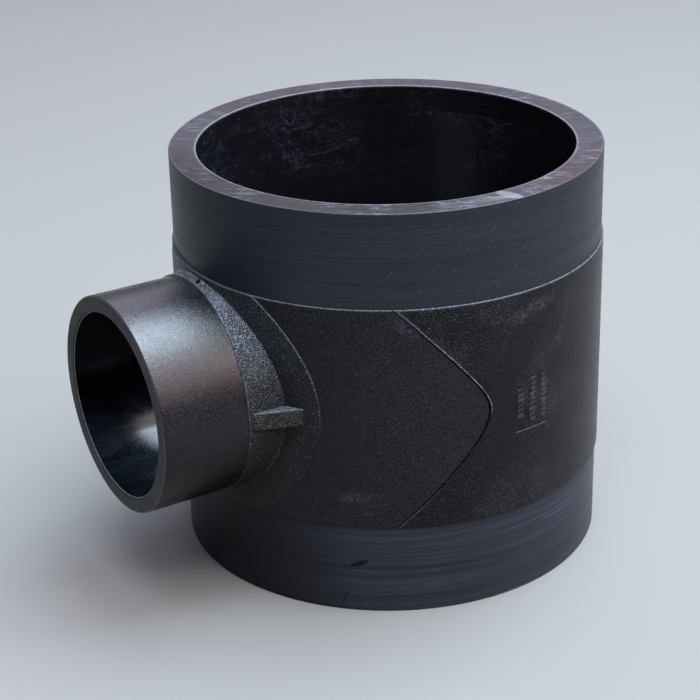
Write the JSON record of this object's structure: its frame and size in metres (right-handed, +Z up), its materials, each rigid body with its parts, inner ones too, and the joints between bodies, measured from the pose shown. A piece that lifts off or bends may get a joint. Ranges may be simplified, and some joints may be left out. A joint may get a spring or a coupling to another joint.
{
  "type": "reducing tee pipe fitting",
  "caption": "Reducing tee for butt fusion: thick-walled black plastic run, open at both ends, with a smaller round branch leaving it at a right angle at mid height.",
  "frame": {"origin": "on the run's axis, in the plane of the lower end face that the fitting stands on", "axes": "+Z up along the run's axis, +X out along the branch's axis, +Y to the left of the branch seen from above"},
  "size_m": [0.7759, 0.6367, 0.602],
  "materials": {
    "machined_run_end": "turned satin",
    "moulded_barrel": "moulded satin",
    "panel_skin": "fine textured matt",
    "saddle_texture": "coarse textured matt",
    "collar_texture": "coarse textured",
    "gloss_branch": "gloss",
    "seam_flash": "torn satin"
  },
  "bodies": {
    "root": {"upper_run_spigot": "machined_run_end", "lower_run_spigot": "machined_run_end", "rear_shell": "moulded_barrel", "branch_panel_left": "panel_skin", "branch_panel_right": "panel_skin", "branch_saddle": "saddle_texture", "branch_collar": "collar_texture", "branch_spigot": "gloss_branch", "gusset_rib_left": "collar_texture", "gusset_rib_right": "collar_texture", "crown_tick": "collar_texture", "seam_bead_left": "seam_flash", "seam_bead_right": "seam_flash", "marking_bar": "moulded_barrel", "marking_blanks": "moulded_barrel"}
  },
  "joints": []
}
